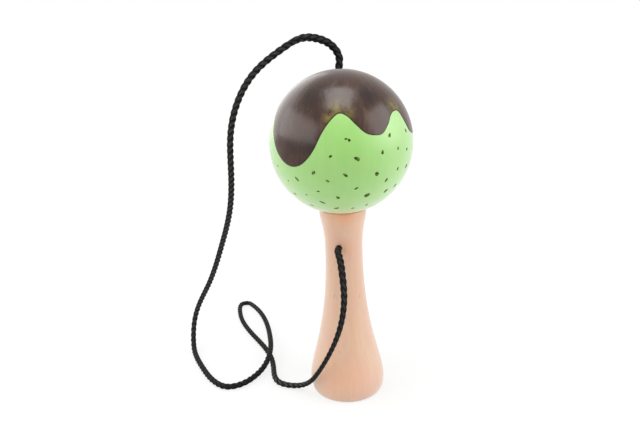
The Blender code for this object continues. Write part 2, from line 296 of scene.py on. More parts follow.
def beech_material():
    """Pale beech with growth rings about a pith outside the piece, fibres, ray flecks and lathe rings."""
    PALE = srgb(205, 168, 138)
    WARM = srgb(192, 142, 106)
    ROSY = srgb(201, 154, 119)
    BLUSH = srgb(206, 157, 132)
    FLECK = srgb(138, 92, 65)
    ORANGE = srgb(214, 142, 92)
    # Where the wood is more orange, the first two as painted warm shade under the ball's rim and beside
    # the cord's hole, the last as the wood's own tone: the middle and size of each place, and how strongly
    ORANGE_TONE_AND_SHADE_PLACES = [
        ((0.0, -0.010, 0.085), 0.0095, 0.75),
        ((0.0005, -0.009, 0.070), 0.0065, 0.50),
        ((-0.005, -0.016, 0.012), 0.0160, 0.40)]
    PITH = (0.052, 0.031)
    GRAIN_LEAN = (0.02, -0.035, 0.0)
    RING_WIDTH = 0.0034
    RING_WANDER = 0.0022
    BLUSH_SHARE = 0.6
    LATE_WOOD_SHARE = 0.10
    FIBRE_SHARE = 0.20
    RAY_SHARE = 0.70
    PORE_SHARE = 0.12
    SCORED_SHARE = 0.14
    material, tree, shader, place = new_material("beech")
    leaning = add_node(tree, "ShaderNodeMapping", {"Vector": place, "Rotation": GRAIN_LEAN}).outputs[0]
    spot = add_node(tree, "ShaderNodeSeparateXYZ", {0: leaning}).outputs
    wander = calc(tree, "MULTIPLY", noise(tree, leaning, 30.0, 2.0), RING_WANDER)
    off_x = calc(tree, "SUBTRACT", spot[0], PITH[0])
    off_y = calc(tree, "SUBTRACT", spot[1], PITH[1])
    square_y = calc(tree, "MULTIPLY", off_y, off_y)
    reach = calc(tree, "SQRT", calc(tree, "MULTIPLY_ADD", off_x, off_x, square_y))
    season = calc(tree, "FRACT", calc(tree, "DIVIDE", calc(tree, "ADD", reach, wander), RING_WIDTH))
    late_wood = calc(tree, "MULTIPLY", spread(tree, season, 0.35, 0.92), spread(tree, season, 1.0, 0.92))
    fibres = streaks(tree, leaning, 1500.0, 55.0)
    bands = streaks(tree, leaning, 170.0, 9.0)
    colour = tint(tree, calc(tree, "MULTIPLY_ADD", bands, 0.8, 0.1), PALE, ROSY)
    flushed = spread(tree, noise(tree, leaning, 75.0, 2.0), 0.42, 0.66)
    colour = tint(tree, calc(tree, "MULTIPLY", flushed, BLUSH_SHARE), colour, BLUSH)
    colour = tint(tree, calc(tree, "MULTIPLY", late_wood, LATE_WOOD_SHARE), colour, WARM)
    colour = tint(tree, calc(tree, "MULTIPLY", fibres, FIBRE_SHARE), colour, WARM)
    rays = ray_flecks(tree, leaning, (900.0, 900.0, 160.0), 0.24, 0.92)
    pores = ray_flecks(tree, leaning, (2100.0, 2100.0, 380.0), 0.30, 0.72)
    colour = tint(tree, calc(tree, "MULTIPLY", rays, RAY_SHARE), colour, FLECK)
    colour = tint(tree, calc(tree, "MULTIPLY", pores, PORE_SHARE), colour, FLECK)
    height_only = add_node(tree, "ShaderNodeCombineXYZ", {2: spot[2]}).outputs[0]
    lathe_rings = noise(tree, height_only, 1300.0, 2.0)
    scored = calc(tree, "MULTIPLY", spread(tree, lathe_rings, 0.62, 0.74), spread(tree, bands, 0.3, 0.9))
    colour = tint(tree, calc(tree, "MULTIPLY", scored, SCORED_SHARE), colour, WARM)
    # Orange tint at each place: painted shade near the ball and the hole, the wood's tone low on the front
    for middle, size, strength in ORANGE_TONE_AND_SHADE_PLACES:
        gap = add_node(tree, "ShaderNodeVectorMath", {0: place, 1: middle}, operation="DISTANCE")
        near = spread(tree, gap.outputs["Value"], size, 0.0)
        colour = tint(tree, calc(tree, "MULTIPLY", near, strength), colour, ORANGE)
    tree.links.new(colour, shader.inputs["Base Color"])
    sheen = calc(tree, "MULTIPLY_ADD", fibres, 0.12, 0.44)
    tree.links.new(sheen, shader.inputs["Roughness"])
    relief = calc(tree, "MULTIPLY_ADD", lathe_rings, 0.5, calc(tree, "MULTIPLY", fibres, 0.35))
    bump(tree, shader, relief, 0.00006, 0.35)
    shader.inputs["Specular IOR Level"].default_value = 0.1
    shader.inputs["Coat Weight"].default_value = 1.0
    shader.inputs["Coat Roughness"].default_value = 0.42
    shader.inputs["Coat IOR"].default_value = 1.7
    shader.inputs["Sheen Weight"].default_value = 0.45
    shader.inputs["Sheen Roughness"].default_value = 0.65
    return material


handle.data.materials.clear()
handle.data.materials.append(beech_material())
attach(handle, "handle")
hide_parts("handle")

# Ball: a turned wooden ball, bored through for the cord, with a wider pocket below that hides the knot.
# It is sprayed with mint lacquer, thin enough to let the upright grain of the wood show as faint streaks.
BALL_POCKET_DEPTH = 0.0140
BALL_HOLE_RADIUS = 0.0017
HOLE_EASE = 0.0003


def ball_outline():
    """From the eased edge of the cord's hole round the outside to the pocket, and back up the bore."""
    eased = BALL_HOLE_RADIUS + HOLE_EASE
    top = math.degrees(math.acos(eased / BALL_RADIUS))
    bottom = -math.degrees(math.acos(KNOT_POCKET_RADIUS / BALL_RADIUS))
    outside = arc((0.0, BALL_CENTRE), (BALL_RADIUS, BALL_RADIUS), top, bottom, count=110)
    pocket_top = BALL_CENTRE - BALL_RADIUS + BALL_POCKET_DEPTH
    bore = [(KNOT_POCKET_RADIUS, pocket_top), (BALL_HOLE_RADIUS, pocket_top)]
    edge = arc((eased, outside[0][1] - HOLE_EASE), (HOLE_EASE, HOLE_EASE), 180.0, 90.0, count=5)
    return outside + bore + edge[:-1]


def mint_material():
    """Mint lacquer on wood: satin, with faint upright grain, and a painted yellowish reflection and bounce
    light of the handle low down, where it sits in the cup.
    """
    MINT = srgb(129, 188, 75)
    PALE_MINT = srgb(141, 194, 95)
    DEEP_MINT = srgb(121, 180, 65)
    # Yellowish colour painted low on the ball as the handle's reflection and bounce light, with its share
    # and the heights where it starts and is strongest
    PAINTED_HANDLE_BOUNCE = srgb(216, 192, 104)
    GRAIN_SHARE = 0.45
    TONE_SHARE = 0.4
    PAINTED_BOUNCE_SHARE = 0.65
    PAINTED_BOUNCE_FROM = BALL_CENTRE - 0.0240
    PAINTED_BOUNCE_MOST = BALL_CENTRE - 0.0287
    material, tree, shader, place = new_material("mint_lacquer")
    grain = streaks(tree, place, 420.0, 12.0)
    tone = spread(tree, noise(tree, place, 45.0, 2.0), 0.35, 0.7)
    colour = tint(tree, calc(tree, "MULTIPLY", grain, GRAIN_SHARE), MINT, PALE_MINT)
    colour = tint(tree, calc(tree, "MULTIPLY", tone, TONE_SHARE), colour, DEEP_MINT)
    level = add_node(tree, "ShaderNodeSeparateXYZ", {0: place}).outputs[2]
    # Painted reflection and bounce light of the handle, growing towards the ball's bottom
    painted_light_mask = spread(tree, level, PAINTED_BOUNCE_FROM, PAINTED_BOUNCE_MOST)
    colour = tint(tree, calc(tree, "MULTIPLY", painted_light_mask, PAINTED_BOUNCE_SHARE), colour, PAINTED_HANDLE_BOUNCE)
    tree.links.new(colour, shader.inputs["Base Color"])
    tree.links.new(calc(tree, "MULTIPLY_ADD", grain, 0.10, 0.34), shader.inputs["Roughness"])
    orange_peel = noise(tree, place, 900.0, 2.0)
    bump(tree, shader, calc(tree, "MULTIPLY_ADD", orange_peel, 0.3, grain), 0.00003, 0.3)
    shader.inputs["Specular IOR Level"].default_value = 0.1
    shader.inputs["Coat Weight"].default_value = 1.0
    shader.inputs["Coat Roughness"].default_value = 0.42
    shader.inputs["Coat IOR"].default_value = 1.7
    shader.inputs["Sheen Weight"].default_value = 0.5
    shader.inputs["Sheen Roughness"].default_value = 0.65
    return material


ball = turned("mint_ball", ball_outline(), closed=True)
ball.data.set_sharp_from_angle(angle=SMOOTH_ANGLE)
ball.data.materials.append(mint_material())
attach(ball, "ball")
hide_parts("ball")

# Glaze: a second, thicker coat of chocolate-brown lacquer over the top of the ball, brushed down in round
# drips like sauce on an ice. It stands a little proud of the mint, with a rounded, darker edge.
GLAZE_THICKNESS = 0.00014
GLAZE_EDGE_WIDTH = 0.0005
GLAZE_SINK = 0.00004
GLAZE_BED = 0.00002
GLAZE_AZIMUTHS = 540
GLAZE_RINGS = 54
GLAZE_ROLLED_RINGS = 12
GLAZE_SHARP_ANGLE = math.radians(60.0)
GLAZE_START = -94.0
# The edge from there round the ball: azimuth from the front and height above the middle, in degrees
GLAZE_EDGE = [
    (-94.0, 31.0), (-76.0, 25.0), (-67.5, 11.0), (-58.5, -2.0), (-49.0, -9.2), (-39.0, -10.4),
    (-30.0, -6.0), (-22.0, 3.3), (-16.0, 15.0), (-8.7, 24.9), (-4.0, 28.6), (3.0, 26.6),
    (9.5, 19.9), (15.5, 14.2), (23.5, 11.6), (30.5, 12.4), (36.5, 17.5), (43.0, 24.7),
    (49.5, 27.5), (55.5, 25.8), (59.5, 18.0), (63.5, 12.0), (70.0, 8.5), (79.0, 7.0),
    (88.0, 9.5), (96.0, 17.0), (104.0, 26.0), (112.0, 27.5), (121.0, 19.0), (131.0, 11.5),
    (142.0, 14.0), (151.0, 24.5), (159.0, 28.5), (168.0, 18.0), (177.0, -1.0), (187.0, -9.5),
    (198.0, -5.0), (206.0, 9.0), (214.0, 23.0), (223.0, 27.0), (233.0, 18.0), (243.0, 12.5),
    (253.0, 19.0)]


def around_ball(azimuth, height, radius):
    """The point over the ball at an azimuth from the front and an angle above its middle, in degrees."""
    turn = np.radians(azimuth)
    rise = np.radians(height)
    flat = radius * np.cos(rise)
    level = BALL_CENTRE + radius * np.sin(rise)
    return np.stack([flat * np.sin(turn), -flat * np.cos(turn), level], axis=-1)


def glaze_edge(azimuth):
    """Height of the glaze's edge at an azimuth, in degrees, on a smooth closed line through GLAZE_EDGE."""
    turns = np.array([a for a, h in GLAZE_EDGE])
    heights = np.array([h for a, h in GLAZE_EDGE])
    turns = np.concatenate([turns - 360.0, turns, turns + 360.0])
    heights = np.tile(heights, 3)
    slopes = np.gradient(heights, turns)
    left = np.searchsorted(turns, azimuth, side="right") - 1
    gap = turns[left + 1] - turns[left]
    t = (azimuth - turns[left]) / gap
    start = (2 * t ** 3 - 3 * t ** 2 + 1) * heights[left] + (t ** 3 - 2 * t ** 2 + t) * gap * slopes[left]
    end = (3 * t ** 2 - 2 * t ** 3) * heights[left + 1] + (t ** 3 - t ** 2) * gap * slopes[left + 1]
    return start + end


def band(ring, other):
    """Four-cornered faces between two closed rings of points, given by the points' numbers."""
    return np.stack([ring, np.roll(ring, -1), np.roll(other, -1), other], axis=1).tolist()


def glaze_shell():
    """A closed shell: its outside stands proud and rounds down at the edge, its inside is in the ball."""
    azimuth = np.linspace(GLAZE_START, GLAZE_START + 360.0, GLAZE_AZIMUTHS, endpoint=False)
    edge = glaze_edge(azimuth)
    slope = np.gradient(edge, azimuth) / np.cos(np.radians(edge))
    rounding = np.degrees(GLAZE_EDGE_WIDTH / BALL_RADIUS) * np.sqrt(1.0 + slope ** 2)
    top = math.degrees(math.acos((BALL_HOLE_RADIUS + HOLE_EASE) / BALL_RADIUS))
    plain = np.linspace(0.0, 1.0, GLAZE_RINGS - GLAZE_ROLLED_RINGS)[:, None]
    rolled = np.sin(np.linspace(0.0, 0.5 * math.pi, GLAZE_ROLLED_RINGS + 1)[1:])[:, None]
    heights = np.concatenate([top + (edge + rounding - top) * plain, edge + rounding * (1.0 - rolled)])
    proud = np.concatenate([np.ones_like(plain), np.sqrt(np.clip(1.0 - rolled ** 2, 0.0, 1.0))])
    lift = GLAZE_THICKNESS * proud - GLAZE_SINK * (1 - proud)
    outside = around_ball(azimuth[None, :], heights, BALL_RADIUS + lift)
    inside = around_ball(azimuth[None, :], heights, BALL_RADIUS - GLAZE_SINK - GLAZE_BED)
    from_edge = (heights - edge) * np.radians(1.0) * BALL_RADIUS / np.sqrt(1.0 + slope ** 2)
    outer = np.arange(heights.size).reshape(heights.shape)
    inner = outer + heights.size
    faces = []
    for i in range(len(heights) - 1):
        faces += band(outer[i + 1], outer[i])
        faces += band(inner[i], inner[i + 1])
    faces += band(outer[0], inner[0])
    faces += band(inner[-1], outer[-1])
    points = np.concatenate([outside.reshape(-1, 3), inside.reshape(-1, 3)])
    return points, faces, np.tile(from_edge.ravel(), 2)


def add_values(item, name, values):
    """One number for each point of a mesh, for its material to read."""
    held = item.data.attributes.new(name, "FLOAT", "POINT")
    held.data.foreach_set("value", np.asarray(values, np.float32))


def add_places(item, name, places):
    """One place in a pattern for each point of a mesh, for its material to read."""
    held = item.data.attributes.new(name, "FLOAT_VECTOR", "POINT")
    held.data.foreach_set("vector", np.asarray(places, np.float32).ravel())


def read_value(tree, name):
    return add_node(tree, "ShaderNodeAttribute", attribute_name=name).outputs["Fac"]


def read_place(tree, name):
    return add_node(tree, "ShaderNodeAttribute", attribute_name=name).outputs["Vector"]


def stroke_places(points):
    """Places in a pattern of brush strokes that run down the ball from its top."""
    offset = points - np.array((0.0, 0.0, BALL_CENTRE))
    flat = np.linalg.norm(offset[:, :2], axis=1)
    rise = np.arctan2(offset[:, 2], flat)
    return np.column_stack([offset[:, 0] / flat, offset[:, 1] / flat, rise]) * BALL_RADIUS


# Spots where the glaze is thin, and spots of painted dark reflection: azimuth and height in degrees, and
# size in metres
THIN_SPOTS = [
    (-3.5, 32.0, 0.0036), (3.0, 29.5, 0.0026), (-11.0, 26.0, 0.0022), (52.0, 31.0, 0.0030),
    (109.0, 31.0, 0.0045), (159.0, 33.0, 0.0050), (222.0, 31.0, 0.0045)]
# Dark spots painted where the front mirrors the dark gaps between the light boxes, with more like them
# round the back
PAINTED_DARK_SPOTS = [
    (-33.0, 44.0, 0.0062), (29.0, 43.0, 0.0050), (-28.0, 6.0, 0.0044), (95.0, 44.0, 0.0060),
    (136.0, 36.0, 0.0048), (188.0, 14.0, 0.0052), (205.0, 48.0, 0.0060), (254.0, 36.0, 0.0050)]


def spot_strength(points, spots):
    """How near each point is to a spot on the ball: 1 in the middle of a spot, 0 away from them all."""
    strength = np.zeros(len(points))
    for azimuth, height, size in spots:
        gap = np.linalg.norm(points - around_ball(azimuth, height, BALL_RADIUS), axis=1)
        strength = np.maximum(strength, np.exp(-(gap / size) ** 2))
    return strength


def glaze_material():
    """Chocolate lacquer: glossy but brushed, olive where it is thin, dark at its edge, and with painted
    dark reflection in spots.
    """
    CHOCOLATE = srgb(57, 32, 20)
    DARK = srgb(43, 23, 14)
    DEEP = srgb(30, 13, 8)
    DUSTY = srgb(75, 51, 37)
    OLIVE = srgb(112, 100, 46)
    STROKE_WARP = 0.009
    BLOT_SHARE = 0.7
    EDGE_SHADE_FROM = 0.0007
    EDGE_SHADE_MOST = 0.0001
    material, tree, shader, place = new_material("chocolate_glaze")
    stroke = read_place(tree, "stroke_place")
    warp = add_node(tree, "ShaderNodeTexNoise", {"Vector": place, "Scale": 70.0, "Detail": 2.0})
    warped = {0: STROKE_WARP, 6: stroke, 7: warp.outputs["Color"]}
    bent = add_node(tree, "ShaderNodeMix", warped, data_type="RGBA", blend_type="ADD").outputs[2]
    hairs = streaks(tree, bent, 900.0, 90.0)
    strokes = streaks(tree, bent, 260.0, 45.0)
    blots = spread(tree, noise(tree, place, 110.0, 4.0, 0.6), 0.42, 0.68)
    edge = read_value(tree, "from_edge")
    thin = read_value(tree, "thin")
    painted_dark = read_value(tree, "painted_dark")
    colour = tint(tree, calc(tree, "MULTIPLY", hairs, strokes), CHOCOLATE, DUSTY)
    colour = tint(tree, calc(tree, "MULTIPLY", blots, BLOT_SHARE), colour, DARK)
    # Painted dark reflection, broken a little by the brush strokes
    dark_share = calc(tree, "MULTIPLY", painted_dark, calc(tree, "MULTIPLY_ADD", strokes, -0.3, 0.95))
    colour = tint(tree, dark_share, colour, DEEP)
    patchy = spread(tree, noise(tree, bent, 330.0, 4.0, 0.65), 0.30, 0.60)
    colour = tint(tree, calc(tree, "MULTIPLY", thin, patchy), colour, OLIVE)
    colour = tint(tree, spread(tree, edge, EDGE_SHADE_FROM, EDGE_SHADE_MOST), colour, DARK)
    tree.links.new(colour, shader.inputs["Base Color"])
    gloss = calc(tree, "MULTIPLY_ADD", hairs, 0.08, calc(tree, "MULTIPLY_ADD", strokes, 0.07, 0.16))
    tree.links.new(gloss, shader.inputs["Roughness"])
    relief = calc(tree, "MULTIPLY_ADD", strokes, 1.6, calc(tree, "MULTIPLY_ADD", blots, 0.8, hairs))
    bump(tree, shader, relief, 0.00003, 0.17)
    shader.inputs["Specular IOR Level"].default_value = 0.4
    return material


points, faces, from_edge = glaze_shell()
glaze = new_object("chocolate_glaze", points, faces)
add_values(glaze, "from_edge", from_edge)
add_values(glaze, "thin", spot_strength(points, THIN_SPOTS))
add_values(glaze, "painted_dark", spot_strength(points, PAINTED_DARK_SPOTS))
add_places(glaze, "stroke_place", stroke_places(points))
glaze.data.set_sharp_from_angle(angle=GLAZE_SHARP_ANGLE)
glaze.data.materials.append(glaze_material())
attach(glaze, "ball")

# Specks: small dabs of dark paint, touched on with a fine brush below the glaze like chips in the ice.
# Each is a thin raised drop, some solid and some so thin that the mint shows through.
SPECK_THICKNESS = 0.00007
SPECK_SINK = 0.00003
SPECK_SPOKES = 20
HALF_LENGTH_PER_MM = 0.00051
HALF_WIDTH_PER_MM = 0.00058
HOLLOW_BELOW = 0.56
HOLLOW_DENSITY = 0.1
SPECK_SHAPE_SEED = 5
# The specks of the front, measured in the photo: azimuth and height in degrees, length and width in
# millimetres, turn in degrees, and how densely each is painted
FRONT_SPECKS = [
    (1.4, 10.5, 1.1, 0.65, 165, 1.0), (3.7, 9.5, 1.3, 0.85, 140, 1.0),
    (-10.0, -1.6, 1.4, 0.85, 35, 1.0), (9.0, -4.0, 2.3, 1.35, 146, 1.0),
    (29.1, -1.1, 1.8, 0.95, 90, 0.9), (36.6, 10.4, 1.8, 1.1, 70, 0.45),
    (57.9, 11.4, 1.5, 1.0, 97, 0.6), (44.7, -0.1, 1.2, 0.9, 93, 0.8),
    (57.4, -2.5, 1.3, 1.0, 81, 0.7), (62.1, -16.6, 2.0, 1.2, 70, 0.6),
    (47.3, -16.1, 1.6, 0.8, 75, 0.7), (25.6, -17.1, 1.9, 1.5, 35, 0.9),
    (36.7, -24.1, 1.9, 1.0, 67, 0.55), (0.5, -16.1, 2.1, 0.95, 137, 0.9),
    (-23.9, -14.1, 1.95, 1.05, 54, 0.5), (-40.8, -20.6, 2.6, 0.7, 126, 0.8),
    (-13.5, -20.6, 1.6, 0.7, 140, 0.3), (9.6, -28.1, 1.7, 0.8, 43, 0.9),
    (21.2, -36.5, 2.7, 1.7, 30, 1.0), (42.8, -35.5, 2.3, 1.15, 45, 0.8),
    (55.0, -32.5, 2.0, 0.9, 50, 0.7), (-23.4, -30.6, 1.3, 0.55, 13, 0.5),
    (-37.7, -35.5, 1.1, 0.5, 158, 0.5), (-6.4, -37.0, 1.9, 1.1, 144, 0.9),
    (-23.7, -43.5, 2.5, 0.9, 146, 0.7), (-10.2, -52.5, 2.4, 1.0, 25, 0.8),
    (10.8, -53.5, 1.6, 0.7, 20, 0.5), (27.9, -50.5, 1.4, 0.8, 90, 0.5),
    (-42.9, -50.5, 1.8, 0.8, 150, 0.6), (-55.9, -37.5, 1.8, 0.8, 135, 0.6),
    (-53.1, -23.6, 0.9, 0.45, 100, 0.5), (-62.9, -12.6, 1.0, 0.5, 120, 0.5)]
BACK_SPECKS = 34
BACK_SPECK_GAP = 0.0058
BACK_SPECK_SEED = 12
BACK_AZIMUTHS = (96.0, 262.0)
BACK_HEIGHT_SINES = (-0.82, 0.42)
BELOW_GLAZE = 5.0


def all_specks():
    """The specks of the front, and others scattered over the rest below the glaze, clear of each other."""
    chance = np.random.default_rng(BACK_SPECK_SEED)
    specks = list(FRONT_SPECKS)
    taken = [around_ball(s[0], s[1], BALL_RADIUS) for s in specks]
    while len(specks) < len(FRONT_SPECKS) + BACK_SPECKS:
        azimuth = chance.uniform(*BACK_AZIMUTHS)
        height = math.degrees(math.asin(chance.uniform(*BACK_HEIGHT_SINES)))
        length = chance.uniform(1.3, 2.5)
        slimness = chance.uniform(0.35, 0.7)
        turn = chance.uniform(0, 180)
        strength = chance.uniform(0.4, 1.0)
        spot = around_ball(azimuth, height, BALL_RADIUS)
        clear = min(np.linalg.norm(spot - other) for other in taken) > BACK_SPECK_GAP
        if clear and height < glaze_edge(np.array(azimuth)) - BELOW_GLAZE:
            specks.append((azimuth, height, length, length * slimness, turn, strength))
            taken.append(spot)
    return specks


def speck_mesh(specks):
    """Each dab is a wavy oval, domed a little and sunk at its rim, following the ball."""
    chance = np.random.default_rng(SPECK_SHAPE_SEED)
    points = []
    faces = []
    density = []
    spokes = np.linspace(0.0, math.tau, SPECK_SPOKES, endpoint=False)
    for azimuth, height, length, width, turn, strength in specks:
        wave = 1.0 + chance.uniform(0.04, 0.14) * np.cos(2 * spokes + chance.uniform(0, 6))
        wave += chance.uniform(0.03, 0.10) * np.cos(3 * spokes + chance.uniform(0, 6))
        lean = math.radians(turn)
        long_way = np.cos(spokes) * length * HALF_LENGTH_PER_MM * wave
        wide_way = np.sin(spokes) * width * HALF_WIDTH_PER_MM * wave
        east = long_way * math.cos(lean) - wide_way * math.sin(lean)
        north = long_way * math.sin(lean) + wide_way * math.cos(lean)
        start = len(points)
        hollow = strength if strength > HOLLOW_BELOW else HOLLOW_DENSITY
        levels = [(1.0, -SPECK_SINK, strength), (0.93, 0.45 * SPECK_THICKNESS, strength)]
        levels += [(0.75, 0.85 * SPECK_THICKNESS, strength), (0.4, SPECK_THICKNESS, hollow)]
        for share, lift, paint in levels:
            turns = azimuth + np.degrees(east * share / BALL_RADIUS) / math.cos(math.radians(height))
            rises = height + np.degrees(north * share / BALL_RADIUS)
            points += around_ball(turns, rises, BALL_RADIUS + lift).tolist()
            density += [paint] * SPECK_SPOKES
        points.append(around_ball(azimuth, height, BALL_RADIUS + SPECK_THICKNESS).tolist())
        points.append(around_ball(azimuth, height, BALL_RADIUS - SPECK_SINK).tolist())
        density += [hollow] * 2
        crown = len(points) - 2
        root = len(points) - 1
        last = start + (len(levels) - 1) * SPECK_SPOKES
        for i in range(SPECK_SPOKES):
            j = (i + 1) % SPECK_SPOKES
            for level in range(len(levels) - 1):
                a = start + level * SPECK_SPOKES
                faces.append((a + i, a + j, a + SPECK_SPOKES + j, a + SPECK_SPOKES + i))
            faces.append((last + i, last + j, crown))
            faces.append((start + j, start + i, root))
    return points, faces, density


def speck_material():
    """Dark olive-brown paint, patchy where the dab is thin."""
    PAINT = srgb(34, 42, 8)
    THIN_PAINT = srgb(98, 122, 54)
    material, tree, shader, place = new_material("speck_paint")
    density = read_value(tree, "density")
    patches = spread(tree, noise(tree, place, 1500.0, 2.0), 0.35, 0.65)
    missing = calc(tree, "MULTIPLY", patches, spread(tree, density, 1.0, 0.3))
    tree.links.new(tint(tree, missing, PAINT, THIN_PAINT), shader.inputs["Base Color"])
    tree.links.new(calc(tree, "MULTIPLY_ADD", patches, 0.15, 0.42), shader.inputs["Roughness"])
    shader.inputs["Specular IOR Level"].default_value = 0.05
    return material


points, faces, density = speck_mesh(all_specks())
specks = new_object("paint_specks", points, faces)
add_values(specks, "density", density)
specks.data.materials.append(speck_material())
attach(specks, "ball")

# Cord: one length of soft black braid, slightly flattened, of strands that cross in a herringbone. It runs
# from the knot in the ball out of the top, over the left, along the table in a loop and up into the neck,
# where it is knotted again. It is drawn thinner on that rise, and painted grey on its crests as
# highlights, more where it gets less light.
CORD_DIAMETER = 0.0025
FLOOR_GAP = 0.0001
CORD_REST_HEIGHT = CORD_DIAMETER / 2 + FLOOR_GAP
BRAID_WIDE = 0.00162
BRAID_THIN = 0.00141
# By metres along the cord: the braid's turn in degrees, the share of its width, and how much painted
# highlight its strands carry
BRAID_TURNS = [(0.0, 20.0), (0.02, 50.0), (0.035, 145.0), (0.09, 130.0), (0.20, 146.0), (0.27, 200.0),
               (0.33, 140.0), (0.36, 115.0), (0.505, 213.0), (0.535, 196.0), (0.58, 190.0)]
BRAID_DRAWN = [(0.0, 1.0), (0.476, 1.0), (0.500, 0.84), (0.514, 0.73), (0.526, 0.71), (0.540, 0.80),
               (0.552, 0.88), (0.562, 0.96), (0.573, 0.96)]
BRAID_PAINTED_LIGHT = [(0.0, 0.6), (0.05, 1.1), (0.10, 1.3), (0.20, 1.2), (0.222, 0.2), (0.348, 0.1), (0.366, 1.2),
              (0.384, 0.1), (0.45, 0.2), (0.470, 1.9), (0.490, 1.9), (0.502, 0.9), (0.58, 0.9)]
BRAID_PITCH = 0.0029
BRAID_COLUMNS = 4
BRAID_SLANT = 0.45
BRAID_RELIEF = 0.00046
BRAID_AROUND = 40
BRAID_STEP = 0.00029
BRAID_START_SIDE = (0.3, 0.9, 0.1)
STRAND_CROWN = 0.9
STRAND_SPAN = 0.47
STRAND_EDGE = 0.6
STRAND_HALF_WIDTH = BRAID_PITCH / 4
STITCH_OFFSET = 7.0
# The same points as in part.py, from the top of the ball to the neck
CORD_ROUTE = [
    (0.0003, -0.0002, 0.1484), (-0.0027, -0.0026, 0.1533), (-0.0078, -0.0060, 0.1559),
    (-0.0140, -0.0087, 0.1564), (-0.0218, -0.0099, 0.1528), (-0.0329, -0.0095, 0.1446),
    (-0.0411, -0.0062, 0.1331), (-0.0454, -0.0026, 0.1205), (-0.0474, 0.0034, 0.1040),
    (-0.0510, 0.0144, 0.0832), (-0.0585, 0.0272, 0.0619), (-0.0697, 0.0406, 0.0361),
    (-0.0808, 0.0478, 0.0110), (-0.0804, 0.0408, 0.0030), (-0.0763, 0.0282, CORD_REST_HEIGHT),
    (-0.0702, 0.0154, CORD_REST_HEIGHT), (-0.0626, 0.0036, CORD_REST_HEIGHT),
    (-0.0564, -0.0005, CORD_REST_HEIGHT), (-0.0506, 0.0011, CORD_REST_HEIGHT),
    (-0.0454, 0.0060, 0.0016), (-0.0403, 0.0149, 0.0028), (-0.0382, 0.0280, 0.0045),
    (-0.0394, 0.0430, 0.0034), (-0.0414, 0.0565, 0.0020), (-0.0447, 0.0710, CORD_REST_HEIGHT),
    (-0.0494, 0.0838, CORD_REST_HEIGHT), (-0.0545, 0.0931, CORD_REST_HEIGHT),
    (-0.0575, 0.0960, CORD_REST_HEIGHT), (-0.0605, 0.0951, CORD_REST_HEIGHT),
    (-0.0616, 0.0913, CORD_REST_HEIGHT), (-0.0609, 0.0838, CORD_REST_HEIGHT),
    (-0.0588, 0.0740, CORD_REST_HEIGHT), (-0.0550, 0.0632, CORD_REST_HEIGHT),
    (-0.0492, 0.0509, CORD_REST_HEIGHT), (-0.0430, 0.0388, CORD_REST_HEIGHT),
    (-0.0382, 0.0268, CORD_REST_HEIGHT), (-0.0358, 0.0145, CORD_REST_HEIGHT),
    (-0.0315, 0.0009, CORD_REST_HEIGHT), (-0.0244, -0.0026, 0.0018), (-0.0141, -0.0134, 0.0135),
    (-0.0079, -0.0202, 0.0276), (-0.0029, -0.0238, 0.0429), (-0.0014, -0.0233, 0.0550),
    (-0.0018, -0.0202, 0.0632), (-0.0025, -0.0150, 0.0683)]
CORD_INSIDE = 0.0016
NECK_STRAIGHT = 0.0008
EXIT_GAP = 0.0003


def evenly(points, spacing):
    """Points an even spacing apart along a line through the given points."""
    points = np.array(points, float)
    along = np.concatenate([[0.0], np.cumsum(np.linalg.norm(np.diff(points, axis=0), axis=1))])
    stops = np.linspace(0.0, along[-1], round(along[-1] / spacing) + 1)
    return np.stack([np.interp(stops, along, points[:, k]) for k in range(3)], axis=1)


def natural_spline(points, spacing):
    """Points of a natural cubic spline through the given points, an even spacing apart."""
    knots = np.array(points, dtype=float)
    along = np.concatenate([[0.0], np.cumsum(np.linalg.norm(np.diff(knots, axis=0), axis=1))])
    gap = np.diff(along)
    count = len(knots)
    system = np.eye(count)
    bend = np.zeros((count, 3))
    for i in range(1, count - 1):
        system[i, i - 1:i + 2] = gap[i - 1], 2 * (gap[i - 1] + gap[i]), gap[i]
        bend[i] = 6 * ((knots[i + 1] - knots[i]) / gap[i] - (knots[i] - knots[i - 1]) / gap[i - 1])
    second = np.linalg.solve(system, bend)
    fine = np.linspace(0.0, along[-1], 200 * count)
    left = np.clip(np.searchsorted(along, fine, side="right") - 1, 0, count - 2)
    width = gap[left][:, None]
    a = (along[left + 1] - fine)[:, None] / width
    b = 1.0 - a
    curve = a * knots[left] + b * knots[left + 1]
    curve += ((a ** 3 - a) * second[left] + (b ** 3 - b) * second[left + 1]) * width ** 2 / 6
    return evenly(curve, spacing)


def free_cord_path():
    """The free cord's middle line, with a little hidden inside both holes."""
    ball_exit = Vector((0.0, 0.0, BALL_CENTRE + BALL_RADIUS + EXIT_GAP))
    hole = Vector((0.0, 0.0, CORD_HOLE_HEIGHT))
    handle_exit = hole + HOLE_DIRECTION * (NECK_HOLE_RADIUS + EXIT_GAP)
    straight = handle_exit + HOLE_DIRECTION * NECK_STRAIGHT
    path = natural_spline([ball_exit, *CORD_ROUTE, straight, handle_exit], BRAID_STEP)
    path[:, 2] = np.maximum(path[:, 2], CORD_REST_HEIGHT)
    in_ball = evenly([ball_exit - Vector((0.0, 0.0, CORD_INSIDE)), ball_exit], BRAID_STEP)
    in_neck = evenly([handle_exit, handle_exit - HOLE_DIRECTION * CORD_INSIDE], BRAID_STEP)
    return np.concatenate([in_ball[:-1], path, in_neck[1:]])


